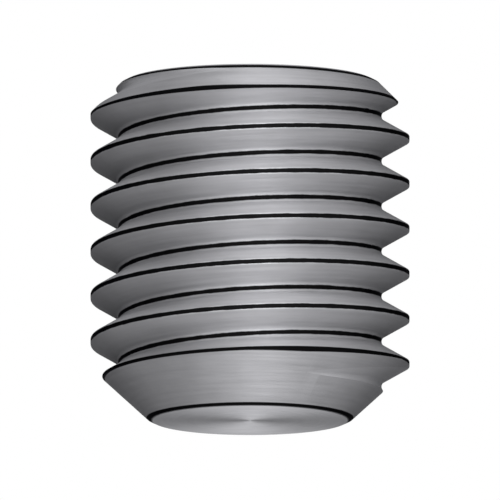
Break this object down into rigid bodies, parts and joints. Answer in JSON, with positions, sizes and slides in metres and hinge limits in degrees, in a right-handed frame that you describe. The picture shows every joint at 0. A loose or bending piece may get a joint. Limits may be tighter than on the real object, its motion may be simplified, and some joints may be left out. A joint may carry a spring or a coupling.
{
  "type": "grub set screw",
  "caption": "Headless threaded set screw with a flat point on a cone, a chamfered upper end and a blind hexagon socket.",
  "frame": {"origin": "centre of the flat point face, which the screw stands on", "axes": "+Z runs along the axis from the point to the socket end; -Y is the side on which the crests stand whole pitches above the point face"},
  "size_m": [0.014, 0.014, 0.015],
  "materials": {
    "steel": "dark grey, plain oxide finish with a low sheen"
  },
  "bodies": {
    "root": {"set_screw": "steel"}
  },
  "joints": []
}
